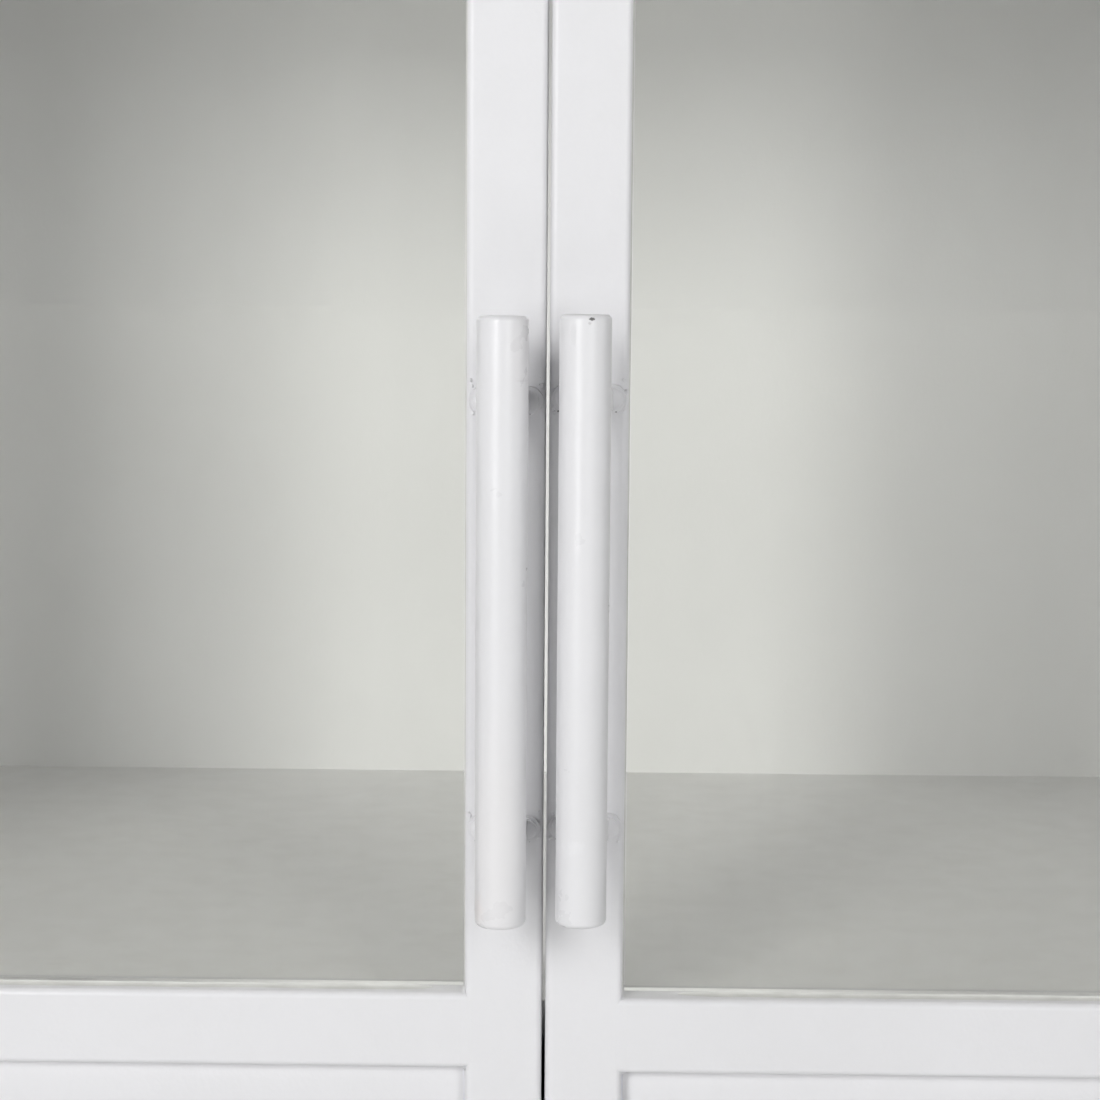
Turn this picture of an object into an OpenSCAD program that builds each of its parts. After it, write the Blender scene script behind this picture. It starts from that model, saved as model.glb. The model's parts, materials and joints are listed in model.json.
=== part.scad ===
// Two-door glazed apothecary cabinet: welded square-tube carcass, inset doors
// with glass above a sheet panel, upright bar handles, sheet shelves inside.
// Millimetres, +Z up. The front faces -Y. The origin is on the floor, under the
// centre of the whole outline, handles included.

/* [Cabinet] */
// Width across the posts
cab_w = 900; // [600:10:1200]
// Depth from the door fronts to the back
cab_d = 450; // [300:10:600]
// Height from the floor to the top panel
cab_h = 1850; // [1500:10:2100]
// Clear height under the bottom rails
leg_h = 100; // [40:5:200]
// Height of the top edge of the doors' middle rail
mid_h = 830; // [600:10:1000]

/* [Carcass tube and sheet] */
// Side of the square carcass tube
post_w = 30; // [25:1:40]
// Wall of all the tubes
tube_wall = 1.5; // [1:0.1:2.5]
// Outside corner radius of all the tubes
tube_r = 2.5; // [2:0.1:4]
// Thickness of the side, back, bottom and top sheets
sheet_t = 1.2; // [0.8:0.1:2]
// Setback of the side and back sheets behind the tube faces
panel_inset = 4; // [1:0.5:10]
// Side of the angle brackets that carry the shelves
bracket_w = 20; // [15:1:30]
// Thickness of the angle brackets
bracket_t = 3; // [2:0.5:4]

/* [Shelves] */
// Drop of the divider's top below the middle rail's top edge
divider_drop = 10; // [5:1:20]
// Height of the folded lips under the shelves
lip_h = 15; // [10:1:25]
// Height of the upper shelf above the divider
upper_shelf_gap = 490; // [300:10:600]
// Height of the lower shelf above the bottom panel
lower_shelf_gap = 335; // [200:5:400]
// Clearance around a loose shelf
shelf_clear = 2; // [1:0.5:4]

/* [Doors] */
// Width of the door tubes, seen from the front
stile_w = 30; // [25:1:40]
// Depth of the door tubes
door_t = 20; // [18:1:30]
// Gap between a post and a door, at the hinges
hinge_gap = 3; // [2:0.5:5]
// Gap between the two doors
meet_gap = 1.4; // [1.2:0.1:4]
// Gap above and below the doors
end_gap = 2.5; // [2:0.5:4]
// Amount by which the right door and its hinges were welded lower than the left
door_drop = 1.5; // [0:0.1:1.5]
// Gap between the doors' backs and the shelves' front edges
door_back_gap = 4; // [3:0.5:10]
// Setback of the glass behind the door's front face
glass_inset = 8.5; // [5:0.5:10]
// Thickness of the glass
glass_t = 4; // [3:0.5:6]
// Gap around the glass, filled by the setting blocks below it
glass_gap = 1; // [0.5:0.1:2]
// Width of the sealant beads on both faces of the glass
bead_w = 2; // [1:0.5:4]
// Setback of the lower panel behind the door's front face
door_panel_inset = 7.5; // [2:0.5:8]
// Depth of the lower panel's folded edges
door_panel_fold = 11; // [8:1:14]

/* [Handles] */
// Diameter of the handle bars
bar_d = 19; // [16:0.5:25]
// Length of the handle bars
bar_l = 225; // [180:5:400]
// Edge radius at the ends of the bars
bar_end_r = 2.2; // [1:0.1:4]
// Distance from the door's face to the bar's axis
bar_standoff = 37; // [30:1:50]
// Shift of the left bar from its stile's centre towards the gap
left_bar_shift = 0; // [-1:0.1:2]
// Shift of the right bar from its stile's centre towards the gap
right_bar_shift = 1.5; // [-1:0.1:2]
// How much lower on its stile the left pair of lugs was welded than the right pair
left_lug_drop = 2.5; // [-1:0.1:3]
// How much higher on its lugs the right bar was welded than the left one
right_bar_lift = 2.2; // [-1:0.1:2.5]
// Height of the bar's lower end above the middle rail's top edge
bar_rise = 39; // [20:1:100]
// Distance between the two lugs of a handle
lug_spacing = 165; // [140:5:180]
// Width of a lug
lug_w = 26; // [20:1:28]
// Thickness of a lug
lug_t = 8; // [5:0.5:10]
// Height of the lug's full-width foot on the stile, before it narrows
lug_foot = 3; // [2:0.5:8]
// Width of a lug where it meets the bar
lug_neck = 12; // [8:1:18]

/* [Hinges] */
// Number of hinges on each door
hinge_count = 3; // [2:1:4]
// Outside diameter of the hinge barrels
barrel_d = 12; // [10:0.5:14]
// Length of each half of a hinge barrel
barrel_l = 30; // [20:1:50]
// Diameter of the hinge pins
pin_d = 6; // [5:0.5:7]
// Radial running clearance of a pin in the door's barrel
pin_clear = 0.05; // [0.02:0.01:0.1]
// Thickness of the washer between the two halves
washer_t = 1.5; // [1:0.1:3]
// Distance of the first and last hinges from the door's ends
hinge_end = 150; // [100:5:250]
// Clearance between a barrel and the tube that it isn't welded to
barrel_clear = 0.4; // [0.3:0.1:1]

/* [Feet, catches and wall fixing] */
// Thickness of the foot pads under the posts
foot_t = 5; // [3:0.5:10]
// Length of the foot plugs inside the posts
foot_plug_l = 20; // [10:1:40]
// Width of a magnetic catch
catch_w = 46; // [30:1:60]
// Height of a magnetic catch
catch_h = 14; // [10:1:20]
// Depth of a magnetic catch
catch_d = 15; // [10:1:20]
// Distance of the catches from the middle of the cabinet
catch_x = 70; // [40:5:150]
// Gap left between a strike plate and its catch, and under a bumper
touch_gap = 0.5; // [0.3:0.1:1]
// Diameter of the door bumpers
bumper_d = 9; // [6:0.5:12]
// Diameter of the wall fixing holes
wall_hole_d = 7; // [5:0.5:10]
// Distance between the wall fixing holes
wall_hole_spacing = 400; // [300:10:500]

/* [Hidden] */
$fn = 48;
EPS = 0.01;

// Planes across the depth: the doors' front, the back, and what follows them
bar_reach = bar_standoff + bar_d / 2;
y_front = bar_reach - (cab_d + bar_reach) / 2;
y_back = y_front + cab_d;
y_door_back = y_front + door_t;
y_shelf_front = y_door_back + door_back_gap;
y_back_sheet = y_back - panel_inset - sheet_t;

// Planes across the width
x_post = cab_w / 2 - post_w;
x_side_sheet = cab_w / 2 - panel_inset - sheet_t;

// Levels
z_bottom = leg_h + post_w;
z_top_rail = cab_h - sheet_t;
z_top_opening = z_top_rail - post_w;
z_divider = mid_h - divider_drop;
z_mid_rail = z_divider - sheet_t;
z_floor_panel = z_bottom + sheet_t;
z_upper_shelf = z_divider + upper_shelf_gap;
z_lower_shelf = z_floor_panel + lower_shelf_gap;
z_door = z_bottom + end_gap;
door_h = z_top_opening - end_gap - z_door;
z_door_top = z_door + door_h;

// Doors, measured from the hinge-side edge at x = 0 towards the meeting edge
door_w = x_post - hinge_gap - meet_gap / 2;
x_door = hinge_gap - x_post;
x_inner_a = stile_w;
x_inner_b = door_w - stile_w;
z_glass = mid_h + glass_gap;
glass_h = z_door_top - stile_w - glass_gap - z_glass;
glass_w = x_inner_b - x_inner_a - 2 * glass_gap;
y_glass = y_front + glass_inset;

// Hinges: the axis lies in the seam, in front of the door's face, where the
// barrel clears the rounded corners of both tubes
barrel_r = barrel_d / 2;
seam_r = hinge_gap / 2 + tube_r;
axis_min = sqrt(pow(barrel_r + barrel_clear + tube_r, 2) - pow(seam_r, 2)) - tube_r;
axis_out = ceil(20 * axis_min) / 20;
y_axis = y_front - axis_out;
weld_w = 7;
weld_t = 3;
cap_t = 2;
hinge_pitch = (door_h - 2 * hinge_end) / (hinge_count - 1);
pin_top_gap = 1;
pin_l = 2 * barrel_l + washer_t - cap_t - pin_top_gap;

// Handles
x_lugs = door_w - stile_w / 2;
y_bar = y_front - bar_standoff;
z_bar = mid_h + bar_rise;
z_lugs = z_bar + (bar_l - lug_spacing) / 2;
lug_bite = 3;
function bar_lift(side) = side == "right" ? right_bar_lift : 0;
function lug_drop(side) = side == "left" ? left_lug_drop : 0;
function x_bar(side) = x_lugs + (side == "right" ? right_bar_shift : left_bar_shift);
weld_rim = 2;

// Catches under the top rail and bumpers against the divider's lip
strike_t = 1;
strike_w = 36;
y_catch = y_door_back + strike_t + touch_gap;
magnet_w = 26;
magnet_h = 4;
catch_screw_d = 3.5;
catch_screw_x = 18;
catch_screw_y = 4;
catch_screw_grip = 6;
bumper_inset = 8;

// ---- Shapes that repeat ----

// A rectangle with rounded corners, centred
module rounded_rect(w, h, r) {
    square([w - 2 * r, h], center = true);
    square([w, h - 2 * r], center = true);
    for (x = [-1, 1], y = [-1, 1])
        translate([x * (w / 2 - r), y * (h / 2 - r)]) circle(r);
}

// A flat bar's section with half-round ends, centred
module round_ended(w, t) {
    square([w - t, t], center = true);
    for (x = [-1, 1]) translate([x * (w - t) / 2, 0]) circle(d = t);
}

// The section of a rectangular tube, from its lowest corner at the origin
module tube_section(w, h) {
    translate([w / 2, h / 2]) difference() {
        rounded_rect(w, h, tube_r);
        rounded_rect(w - 2 * tube_wall, h - 2 * tube_wall, tube_r - tube_wall);
    }
}

// Tubes along Z, X and Y, each from its lowest corner
module tube_z(at, w, d, length) {
    translate(at) linear_extrude(length) tube_section(w, d);
}

module tube_x(at, d, h, length) {
    translate(at) rotate([90, 0, 90]) linear_extrude(length) tube_section(d, h);
}

module tube_y(at, w, h, length) {
    translate([at[0], at[1] + length, at[2]]) rotate([90, 0, 0])
        linear_extrude(length) tube_section(w, h);
}

// A box between two corners
module block(a, b) {
    translate(a) cube(b - a);
}

// The same solids on the left and on the right of the cabinet
module both_sides() {
    children();
    mirror([1, 0, 0]) children();
}

// What is drawn for the left door, on its own side and at its own door's level
module hand(side) {
    if (side == "right")
        translate([0, 0, -door_drop]) mirror([1, 0, 0]) children();
    else
        children();
}

module on_door(side) {
    hand(side) translate([x_door, 0, 0]) children();
}

// ---- Carcass ----

module post(right, rear) {
    color("whitesmoke") mirror([right ? 1 : 0, 0, 0])
        tube_z([-cab_w / 2, rear ? y_back - post_w : y_front, foot_t],
               post_w, post_w, z_top_rail - foot_t);
}

// A rail across the width, at the front or at the back
module cross_rail(y, z) {
    color("whitesmoke") tube_x([-x_post, y, z], post_w, post_w, 2 * x_post);
}

// A pair of rails along the depth
module side_rails(z) {
    color("whitesmoke") both_sides()
        tube_y([-cab_w / 2, y_front + post_w, z], post_w, post_w, cab_d - 2 * post_w);
}

module top_front_rail() {
    difference() {
        cross_rail(y_front, z_top_opening);
        at_catches() catch_screw_shanks();
    }
}

module top_rear_rail() {
    difference() {
        cross_rail(y_back - post_w, z_top_opening);
        for (x = [-1, 1])
            translate([x * wall_hole_spacing / 2, y_back + EPS, z_top_opening + post_w / 2])
                rotate([90, 0, 0]) cylinder(d = wall_hole_d, h = post_w + 2 * EPS);
    }
}

module top_panel() {
    color("whitesmoke") block([-cab_w / 2, y_front, z_top_rail], [cab_w / 2, y_back, cab_h]);
}

// A sheet floor whose corners clear the posts
module notched_sheet(z, x_half, y_a, y_b, notch, gap) {
    difference() {
        block([-x_half, y_a, z], [x_half, y_b, z + sheet_t]);
        both_sides() {
            block([-x_half - EPS, y_a - EPS, z - EPS],
                  [-x_post + gap, y_front + notch + gap, z + sheet_t + EPS]);
            block([-x_half - EPS, y_back - notch - gap, z - EPS],
                  [-x_post + gap, y_b + EPS, z + sheet_t + EPS]);
        }
    }
}

module bottom_panel() {
    color("white")
        notched_sheet(z_bottom, x_side_sheet, y_shelf_front, y_back_sheet, post_w, 0);
}

// The divider lies on the middle rails, and its front lip hangs between the posts
module divider_shelf() {
    color("white") {
        notched_sheet(z_mid_rail, x_side_sheet, y_shelf_front, y_back_sheet, post_w, 0);
        block([-x_post, y_shelf_front, z_divider - lip_h],
              [x_post, y_shelf_front + sheet_t, z_mid_rail + EPS]);
    }
}

// A loose shelf, with folded lips at the front and the back
module loose_shelf(z) {
    y_rear = y_back_sheet - shelf_clear;
    x_lip = x_post - shelf_clear;
    color("white") {
        notched_sheet(z - sheet_t, x_side_sheet - shelf_clear, y_shelf_front, y_rear,
                      post_w, shelf_clear);
        for (y = [y_shelf_front, y_rear - sheet_t])
            block([-x_lip, y, z - lip_h], [x_lip, y + sheet_t, z - sheet_t + EPS]);
    }
}

// Angle brackets on the posts' inner faces, with their flat tops under a sheet
module shelf_brackets(z_under) {
    color("whitesmoke") both_sides()
        for (y = [y_front + post_w, y_back - post_w - bracket_w])
            translate([-x_side_sheet, y, z_under - bracket_w]) {
                translate([0, 0, bracket_w - bracket_t]) cube([bracket_w, bracket_w, bracket_t]);
                cube([bracket_t, bracket_w, bracket_w]);
            }
}

// Flat bars across the depth that stiffen the divider between its side rails
module divider_stiffeners() {
    color("whitesmoke") for (x = [-1, 1])
        translate([x * cab_w / 6 - bracket_w / 2, y_shelf_front + sheet_t, z_mid_rail - bracket_t])
            cube([bracket_w, y_back - post_w - y_shelf_front - sheet_t, bracket_t]);
}

module side_panels(z_low, z_high) {
    color("white") both_sides()
        block([-x_side_sheet - sheet_t, y_front + post_w, z_low],
              [-x_side_sheet, y_back - post_w, z_high]);
}

module back_panel(z_low, z_high) {
    color("white") block([-x_post, y_back_sheet, z_low], [x_post, y_back_sheet + sheet_t, z_high]);
}

// Push-in pads: a flat foot as wide as the post, with a plug inside the tube
module foot_caps() {
    plug_w = post_w - 2 * tube_wall - 0.2;
    color("gainsboro") both_sides()
        for (y = [y_front + post_w / 2, y_back - post_w / 2])
            translate([-cab_w / 2 + post_w / 2, y, 0]) {
                linear_extrude(foot_t) rounded_rect(post_w, post_w, tube_r);
                translate([0, 0, foot_t - EPS]) linear_extrude(foot_plug_l)
                    rounded_rect(plug_w, plug_w, tube_r - tube_wall);
            }
}

// ---- Hinges ----

// Runs its children at each hinge of the left door's axis, at the level of the
// joint between the lower and the upper half
module at_hinges() {
    for (i = [0 : hinge_count - 1])
        translate([-x_post + hinge_gap / 2, y_axis, z_door + hinge_end + i * hinge_pitch])
            children();
}

// One half of a barrel with its weld to a tube: side -1 is the post, 1 the door
module barrel_half(z, bore_d, bore_l, side) {
    length = barrel_l;
    difference() {
        union() {
            translate([0, 0, z]) cylinder(d = barrel_d, h = length);
            translate([side > 0 ? 0 : -seam_r - weld_w, axis_out - weld_t, z])
                cube([seam_r + weld_w, weld_t, length]);
        }
        translate([0, 0, z - EPS]) cylinder(d = bore_d, h = bore_l + EPS);
    }
}

// The lower halves, welded to the front posts
module hinge_barrels() {
    color("whitesmoke") for (side = ["left", "right"]) hand(side) at_hinges()
        barrel_half(-barrel_l, pin_d, barrel_l + EPS, -1);
}

// The pins, pressed into the lower halves
module hinge_pins() {
    color("silver") for (side = ["left", "right"]) hand(side) at_hinges()
        translate([0, 0, -barrel_l]) cylinder(d = pin_d, h = pin_l);
}

module hinge_washers() {
    color("goldenrod") for (side = ["left", "right"]) hand(side) at_hinges() difference() {
        cylinder(d = barrel_d, h = washer_t - pin_clear);
        translate([0, 0, -EPS]) cylinder(d = pin_d, h = washer_t + 2 * EPS);
    }
}

// The upper halves, welded to the door and turning on the pins
module hinge_sleeves(side) {
    color("whitesmoke") hand(side) at_hinges()
        barrel_half(washer_t, pin_d + 2 * pin_clear, barrel_l - cap_t, 1);
}

// ---- Catches ----

// Places its children behind each door's strike plate, under the top front rail
module at_catches() {
    both_sides() translate([-catch_x, y_catch, z_top_opening - catch_h]) children();
}

module catch_screw_shanks() {
    for (x = [-1, 1]) translate([x * catch_screw_x, catch_screw_y, -EPS])
        cylinder(d = catch_screw_d, h = catch_h + catch_screw_grip);
}

module catch_housings() {
    color("white") at_catches() difference() {
        translate([-catch_w / 2, 0, 0]) cube([catch_w, catch_d, catch_h]);
        translate([-magnet_w / 2, -EPS, (catch_h - magnet_h) / 2])
            cube([magnet_w, catch_d / 2, magnet_h]);
        catch_screw_shanks();
    }
}

module catch_magnets() {
    color("dimgray") at_catches()
        translate([-magnet_w / 2, 0, (catch_h - magnet_h) / 2])
            cube([magnet_w, catch_d / 2 - EPS, magnet_h]);
}

// Pan-head screws up through the housings into the top rail
module catch_screws() {
    head_h = 2;
    color("silver") at_catches() {
        catch_screw_shanks();
        for (x = [-1, 1])
            translate([x * catch_screw_x, catch_screw_y, -head_h])
                cylinder(d = 2 * catch_screw_d, h = head_h);
    }
}

// ---- Doors ----

module outer_stile(side) {
    color("whitesmoke") on_door(side)
        tube_z([0, y_front, z_door], stile_w, door_t, door_h);
}

module meeting_stile(side) {
    color("whitesmoke") on_door(side)
        tube_z([x_inner_b, y_front, z_door], stile_w, door_t, door_h);
}

module door_rail(side, z) {
    color("whitesmoke") on_door(side)
        tube_x([x_inner_a, y_front, z], door_t, stile_w, x_inner_b - x_inner_a);
}

module glass(side) {
    color([0.8, 0.9, 0.88, 0.35]) on_door(side)
        translate([x_inner_a + glass_gap, y_glass, z_glass]) cube([glass_w, glass_t, glass_h]);
}

// A flat ring around the glass opening, bead_w wide, from y with the given depth
module glazing_ring(y, depth) {
    z_a = z_glass - glass_gap;
    z_b = z_glass + glass_h + glass_gap;
    difference() {
        block([x_inner_a, y, z_a], [x_inner_b, y + depth, z_b]);
        block([x_inner_a + bead_w, y - EPS, z_a + bead_w],
              [x_inner_b - bead_w, y + depth + EPS, z_b - bead_w]);
    }
}

module glazing_beads(side) {
    color("ghostwhite") on_door(side) {
        glazing_ring(y_glass - bead_w, bead_w);
        glazing_ring(y_glass + glass_t, bead_w);
    }
}

// Small blocks that carry the glass off the middle rail
module setting_blocks(side) {
    block_l = 25;
    color("gray") on_door(side) for (x = [x_inner_a + glass_w / 4, x_inner_b - glass_w / 4])
        translate([x - block_l / 2, y_glass, mid_h]) cube([block_l, glass_t, glass_gap]);
}

// A pan with its edges folded back along the frame tubes
module lower_panel(side) {
    z_a = z_door + stile_w;
    z_b = mid_h - stile_w;
    y_a = y_front + door_panel_inset;
    color("white") on_door(side) difference() {
        block([x_inner_a, y_a, z_a], [x_inner_b, y_a + door_panel_fold, z_b]);
        block([x_inner_a + sheet_t, y_a + sheet_t, z_a + sheet_t],
              [x_inner_b - sheet_t, y_a + door_panel_fold + EPS, z_b - sheet_t]);
    }
}

// A round bar with eased ends
module handle_bar(side) {
    r = bar_d / 2;
    color("white") on_door(side) translate([x_bar(side), y_bar, z_bar + bar_lift(side)]) rotate_extrude() union() {
        translate([0, bar_end_r]) square([r, bar_l - 2 * bar_end_r]);
        square([r - bar_end_r, bar_l]);
        for (z = [bar_end_r, bar_l - bar_end_r])
            translate([r - bar_end_r, z]) circle(bar_end_r);
    }
}

// Flat lugs with round edges, welded between the bar and the stile
module handle_lugs(side) {
    length = bar_standoff - bar_d / 2 + lug_bite;
    foot_half = (lug_w - lug_t) / 2;
    color("whitesmoke") on_door(side) difference() {
        for (z = [0, lug_spacing])
            translate([x_lugs, y_front, z_lugs - lug_drop(side) + z]) rotate([90, 0, 0]) {
                linear_extrude(lug_foot) round_ended(lug_w, lug_t);
                linear_extrude(weld_rim) round_ended(lug_w + weld_rim, lug_t + weld_rim);
                rotate([90, 0, 0]) translate([0, 0, -lug_t / 2]) linear_extrude(lug_t)
                    polygon([
                        [-foot_half, lug_foot / 2], [foot_half, lug_foot / 2],
                        [foot_half, lug_foot], [lug_neck / 2, length],
                        [-lug_neck / 2, length], [-foot_half, lug_foot]
                    ]);
            }
        translate([x_bar(side), y_bar, z_bar + bar_lift(side)]) cylinder(d = bar_d, h = bar_l);
    }
}

// A steel plate behind the meeting end of the top rail, opposite the magnet
module strike_plate(side) {
    color("silver") on_door(side)
        translate([-x_door - catch_x - strike_w / 2, y_door_back, z_door_top - catch_h])
            cube([strike_w, strike_t, catch_h - end_gap]);
}

// Soft buttons behind the meeting stile, opposite the divider's lip
module bumpers(side) {
    color("lightgray") on_door(side)
        translate([x_lugs, y_door_back, z_divider - bumper_inset]) rotate([-90, 0, 0])
            cylinder(d = bumper_d, h = door_back_gap - touch_gap);
}

// ---- The cabinet ----

post(false, false);  // post_front_left
post(true, false);  // post_front_right
post(false, true);  // post_rear_left
post(true, true);  // post_rear_right
top_front_rail();
top_rear_rail();
side_rails(z_top_opening);  // top_side_rails
cross_rail(y_front, leg_h);  // bottom_front_rail
cross_rail(y_back - post_w, leg_h);  // bottom_rear_rail
side_rails(leg_h);  // bottom_side_rails
side_rails(z_mid_rail - post_w);  // middle_side_rails
cross_rail(y_back - post_w, z_mid_rail - post_w);  // middle_rear_rail
top_panel();
bottom_panel();
divider_shelf();
loose_shelf(z_upper_shelf);  // upper_shelf
loose_shelf(z_lower_shelf);  // lower_shelf
divider_stiffeners();
shelf_brackets(z_upper_shelf - sheet_t);  // upper_shelf_brackets
shelf_brackets(z_lower_shelf - sheet_t);  // lower_shelf_brackets
side_panels(z_mid_rail, z_top_opening);  // upper_side_panels
side_panels(z_bottom, z_mid_rail - post_w);  // lower_side_panels
back_panel(z_mid_rail, z_top_opening);  // upper_back_panel
back_panel(z_bottom, z_mid_rail - post_w);  // lower_back_panel
foot_caps();
hinge_barrels();
hinge_pins();
hinge_washers();
catch_housings();
catch_magnets();
catch_screws();
for (side = ["left", "right"]) {
    outer_stile(side);
    meeting_stile(side);
    door_rail(side, z_door_top - stile_w);
    door_rail(side, mid_h - stile_w);
    door_rail(side, z_door);
    glass(side);
    glazing_beads(side);
    setting_blocks(side);
    lower_panel(side);
    handle_bar(side);
    handle_lugs(side);
    hinge_sleeves(side);
    strike_plate(side);
    bumpers(side);
}
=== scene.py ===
import json
import math
import random

import bmesh
import bpy
from mathutils import Matrix, Vector, noise


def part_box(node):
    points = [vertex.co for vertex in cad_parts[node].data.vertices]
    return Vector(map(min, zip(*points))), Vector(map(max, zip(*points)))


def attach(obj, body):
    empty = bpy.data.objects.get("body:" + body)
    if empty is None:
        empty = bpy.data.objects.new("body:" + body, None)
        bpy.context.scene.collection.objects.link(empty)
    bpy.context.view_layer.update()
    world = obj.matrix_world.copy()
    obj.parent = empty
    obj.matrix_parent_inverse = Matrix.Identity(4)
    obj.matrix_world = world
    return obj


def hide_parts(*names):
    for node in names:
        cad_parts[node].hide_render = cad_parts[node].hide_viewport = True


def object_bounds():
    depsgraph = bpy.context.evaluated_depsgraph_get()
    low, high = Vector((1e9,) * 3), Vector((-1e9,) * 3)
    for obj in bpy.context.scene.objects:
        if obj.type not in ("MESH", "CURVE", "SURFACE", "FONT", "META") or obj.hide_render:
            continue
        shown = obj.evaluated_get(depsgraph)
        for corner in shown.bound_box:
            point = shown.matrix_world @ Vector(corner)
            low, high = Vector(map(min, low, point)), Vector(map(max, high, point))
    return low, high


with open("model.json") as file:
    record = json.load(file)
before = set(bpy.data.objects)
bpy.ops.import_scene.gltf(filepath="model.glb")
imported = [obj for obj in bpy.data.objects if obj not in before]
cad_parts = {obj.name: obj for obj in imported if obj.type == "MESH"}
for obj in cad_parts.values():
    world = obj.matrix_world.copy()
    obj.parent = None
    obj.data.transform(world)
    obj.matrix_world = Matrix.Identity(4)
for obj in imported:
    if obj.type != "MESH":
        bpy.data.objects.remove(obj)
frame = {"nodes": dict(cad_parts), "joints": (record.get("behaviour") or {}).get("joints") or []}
bpy.context.view_layer.update()
cad_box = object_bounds()
nodes = frame["nodes"]
scene = bpy.context.scene
MM = 0.001

# ---------------------------------------------------------------- camera
CAMERA_SIDE = 0.0138        # right of the cabinet's middle
CAMERA_OUT = 0.8706         # in front of the doors
CAMERA_HEIGHT = 1.1122
CAMERA_PITCH = 7.04         # degrees down
CAMERA_YAW = -0.82
CAMERA_ROLL = 0.41
CAMERA_LENS = 75.53
SENSOR = 36.0


def make_camera():
    door_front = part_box("left_meeting_stile")[0].y
    pitch, yaw, roll = (math.radians(a) for a in (CAMERA_PITCH, CAMERA_YAW, CAMERA_ROLL))
    ahead = Vector((math.sin(yaw) * math.cos(pitch), math.cos(yaw) * math.cos(pitch),
                    -math.sin(pitch)))
    right = Vector((math.cos(yaw), -math.sin(yaw), 0))
    up = right.cross(ahead)
    tilted_right = right * math.cos(roll) + up * math.sin(roll)
    tilted_up = up * math.cos(roll) - right * math.sin(roll)
    data = bpy.data.cameras.new("camera")
    data.lens, data.sensor_width = CAMERA_LENS, SENSOR
    data.clip_start, data.clip_end = 0.01, 50
    camera = bpy.data.objects.new("camera", data)
    place = Matrix((tilted_right, tilted_up, -ahead)).transposed().to_4x4()
    place.translation = Vector((CAMERA_SIDE, door_front - CAMERA_OUT, CAMERA_HEIGHT))
    camera.matrix_world = place
    scene.collection.objects.link(camera)
    scene.camera = camera


make_camera()
scene.view_settings.view_transform = "Standard"
scene.view_settings.look = "None"

# ---------------------------------------------------------------- node helpers


def new_material(name):
    """A material with one Principled shader, and its nodes, links and shader."""
    mat = bpy.data.materials.new(name)
    mat.use_nodes = True
    tree = mat.node_tree
    shader = next(n for n in tree.nodes if n.type == "BSDF_PRINCIPLED")
    return mat, tree, shader


def add(tree, kind, **settings):
    """A node of that kind, with its properties or input values set by name."""
    node = tree.nodes.new("ShaderNode" + kind)
    for key, value in settings.items():
        if hasattr(node, key):
            setattr(node, key, value)
        else:
            node.inputs[key.replace("_", " ")].default_value = value
    return node


def join(tree, a, b):
    """A link from output a to input b."""
    tree.links.new(a, b)


def coordinates(tree, stretch=(1, 1, 1)):
    """The shared frame's coordinates in metres, stretched along x, y or z."""
    where = add(tree, "TexCoord").outputs["Object"]
    if stretch == (1, 1, 1):
        return where
    mapping = add(tree, "Mapping")
    mapping.inputs["Scale"].default_value = stretch
    tree.links.new(where, mapping.inputs["Vector"])
    return mapping.outputs["Vector"]


def noise_at(tree, size, detail=2.0, rough=0.5, stretch=(1, 1, 1), twist=0.0):
    """Noise whose blobs are about size metres across."""
    node = add(tree, "TexNoise", Scale=1 / size, Detail=detail, Roughness=rough,
               Distortion=twist)
    tree.links.new(coordinates(tree, stretch), node.inputs["Vector"])
    return node.outputs["Fac"]


def ramp(tree, source, low, high, to_low=0.0, to_high=1.0, smooth=True):
    """source taken from low..high to to_low..to_high."""
    node = add(tree, "MapRange")
    node.interpolation_type = "SMOOTHSTEP" if smooth else "LINEAR"
    node.inputs["From Min"].default_value = low
    node.inputs["From Max"].default_value = high
    node.inputs["To Min"].default_value = to_low
    node.inputs["To Max"].default_value = to_high
    tree.links.new(source, node.inputs["Value"])
    return node.outputs["Result"]


def maths(tree, operation, a, b=None, clamp=False):
    """One sum on a and b, each a number or an output."""
    node = add(tree, "Math", operation=operation, use_clamp=clamp)
    for value, socket in zip((a, b), node.inputs):
        if value is None:
            continue
        if isinstance(value, (int, float)):
            socket.default_value = value
        else:
            tree.links.new(value, socket)
    return node.outputs[0]


def blend_colour(tree, share, a, b):
    """Colour a where share is 0 and b where it is 1."""
    node = add(tree, "Mix", data_type="RGBA")
    tree.links.new(share, node.inputs["Factor"])
    for value, socket in ((a, node.inputs[6]), (b, node.inputs[7])):
        if isinstance(value, tuple):
            socket.default_value = (*value, 1)
        else:
            tree.links.new(value, socket)
    return node.outputs[2]


def bumps(tree, layers):
    """One normal from layers of (height source, distance in metres)."""
    normal = None
    for source, distance in layers:
        node = add(tree, "Bump", Distance=distance)
        tree.links.new(source, node.inputs["Height"])
        if normal is not None:
            tree.links.new(normal, node.inputs["Normal"])
        normal = node.outputs["Normal"]
    return normal


def specks(tree, spacing, size, keep):
    """1 inside sparse dots: one in every so many cells of spacing metres has a dot."""
    cells = add(tree, "TexVoronoi", Scale=1 / spacing)
    tree.links.new(coordinates(tree), cells.inputs["Vector"])
    dot = ramp(tree, cells.outputs["Distance"], size / spacing, 0.5 * size / spacing)
    chosen = add(tree, "SeparateColor")
    tree.links.new(cells.outputs["Color"], chosen.inputs["Color"])
    return maths(tree, "MULTIPLY", dot,
                 maths(tree, "LESS_THAN", chosen.outputs[0], keep))


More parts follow.
